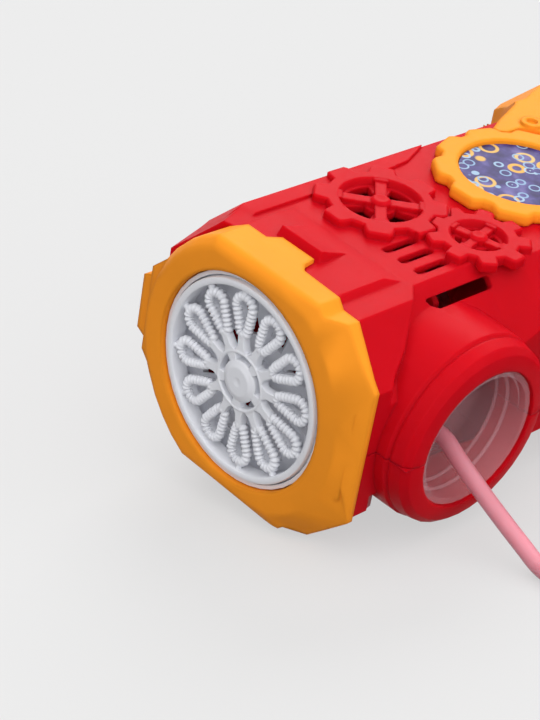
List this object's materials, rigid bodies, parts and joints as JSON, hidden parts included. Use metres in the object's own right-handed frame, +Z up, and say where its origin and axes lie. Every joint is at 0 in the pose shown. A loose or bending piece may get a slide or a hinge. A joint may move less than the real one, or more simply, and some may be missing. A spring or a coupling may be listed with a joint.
{
  "type": "bubble blower",
  "caption": "Hand-held electric bubble blower shaped like a chunky toy pistol: a ribbed-loop wand disc turns in the muzzle, with a bottle socket below and batteries in the grip.",
  "frame": {"origin": "centre of the footprint, on the table that the toy lies on", "axes": "+Y along the barrel from the muzzle to the tail, +X towards the grip, +Z up; the toy lies on its right side, rolled 12.5 degrees about +Y"},
  "size_m": [0.1827, 0.1986, 0.0872],
  "materials": {
    "red_plastic": "satin moulded red",
    "yellow_plastic": "satin moulded yellow-orange",
    "white_plastic": "satin moulded white",
    "clear_plastic": "cloudy clear moulding",
    "pink_hose": "soft translucent tube",
    "printed_film": "printed, glossy",
    "steel": "bright steel",
    "brass": "turned brass",
    "black_plastic": "matt black",
    "cell_can": "dark sleeve, weighed as a light metal",
    "board": "green board"
  },
  "bodies": {
    "housing": {"left_shell": "red_plastic", "right_shell": "red_plastic", "gear_frame": "red_plastic", "fan_shroud": "red_plastic", "front_bezel": "yellow_plastic", "top_cover": "yellow_plastic", "left_gear_bezel": "yellow_plastic", "right_gear_bezel": "yellow_plastic", "collecting_cup": "white_plastic", "pump_housing": "white_plastic", "bottle_collar": "clear_plastic", "hose_nipple": "clear_plastic", "suction_hose": "pink_hose", "feed_hose": "pink_hose", "left_picture": "printed_film", "right_picture": "printed_film", "idler_shaft": "steel", "motor": "steel", "trigger_spring": "steel", "upper_contact": "steel", "lower_contact": "steel", "shell_screw_1": "steel", "shell_screw_2": "steel", "shell_screw_3": "steel", "shell_screw_4": "steel", "shell_screw_5": "steel", "battery_tray": "black_plastic", "trigger_switch": "black_plastic", "battery_1": "cell_can", "battery_2": "cell_can", "battery_3": "cell_can", "circuit_board": "board"},
    "wand": {"wand_disc": "white_plastic", "wand_shaft": "steel", "wand_gear": "white_plastic", "pump_rotor": "white_plastic"},
    "idler": {"idler_gear": "white_plastic"},
    "rotor": {"motor_shaft": "steel", "motor_pinion": "brass", "fan": "red_plastic"},
    "trigger": {"trigger": "red_plastic"},
    "door": {"battery_door": "red_plastic", "door_screw": "steel"}
  },
  "joints": [
    {"name": "wand_spin", "type": "hinge", "parent": "housing", "child": "wand", "pos_m": [-0.03213, -0.09875, 0.04299], "axis": [0, 1, 0], "continuous": true},
    {"name": "idler_spin", "type": "hinge", "parent": "housing", "child": "idler", "pos_m": [-0.05087, -0.05925, 0.04715], "axis": [0, 1, 0], "continuous": true},
    {"name": "motor_spin", "type": "hinge", "parent": "housing", "child": "rotor", "pos_m": [-0.03213, -0.05145, 0.04299], "axis": [0, 1, 0], "continuous": true},
    {"name": "trigger_pull", "type": "slide", "parent": "housing", "child": "trigger", "axis": [0, 1, 0], "range_m": [0, 0.005], "stiffness_N_per_m": 250, "springref_m": -0.002, "deforming": ["trigger_spring"]},
    {"name": "battery_door_lift", "type": "slide", "parent": "housing", "child": "door", "axis": [0.2164, 0, 0.9763], "range_m": [0, 0.02]}
  ],
  "couplings": [
    {"joint": "idler_spin", "follows": "wand_spin", "ratio": -3},
    {"joint": "motor_spin", "follows": "wand_spin", "ratio": 9}
  ]
}
